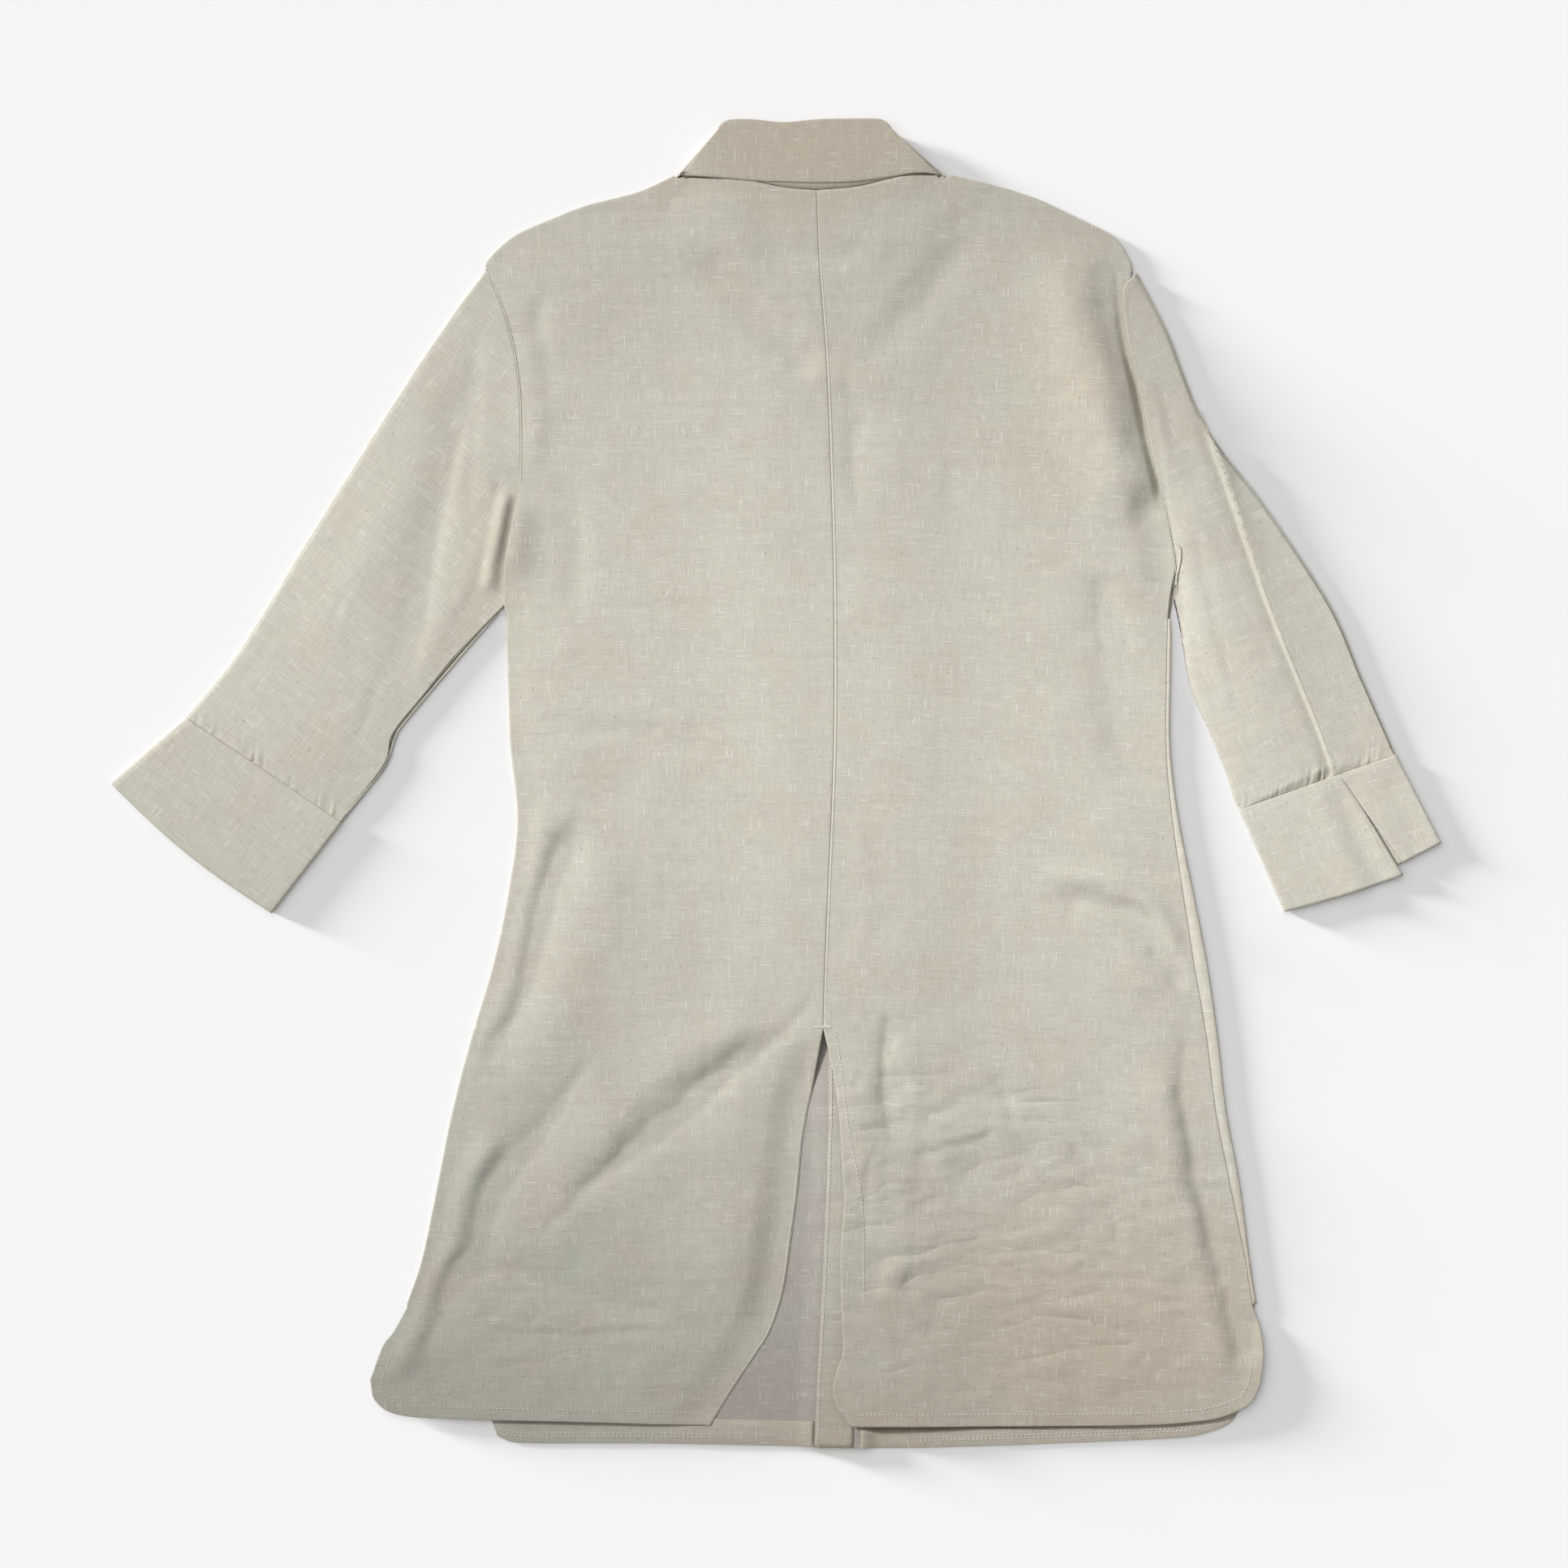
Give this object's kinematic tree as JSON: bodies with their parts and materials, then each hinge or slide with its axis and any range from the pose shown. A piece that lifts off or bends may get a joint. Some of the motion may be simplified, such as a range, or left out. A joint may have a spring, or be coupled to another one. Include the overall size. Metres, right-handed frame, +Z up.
{
  "type": "button-up shirt",
  "caption": "Tunic-length linen shirt with a folded collar, cuffed sleeves and a vent in the back hem, buttoned and laid face down.",
  "frame": {"origin": "on the table, under the middle of the laid shirt's outline", "axes": "+Z up from the table towards the back of the shirt, +Y from the hem to the collar, +X towards the wearer's right"},
  "size_m": [0.952, 0.9502, 0.0102],
  "materials": {
    "linen": "matte, slubby plain weave",
    "button": "satin"
  },
  "bodies": {
    "root": {"back_left": "linen", "back_right": "linen", "front_left": "linen", "front_right": "linen", "sleeve_left": "linen", "sleeve_right": "linen", "cuff_left": "linen", "cuff_right": "linen", "collar_stand": "linen", "collar_fall": "linen", "button_1": "button", "button_2": "button", "button_3": "button", "button_4": "button", "button_5": "button", "button_6": "button", "button_7": "button"}
  },
  "joints": []
}
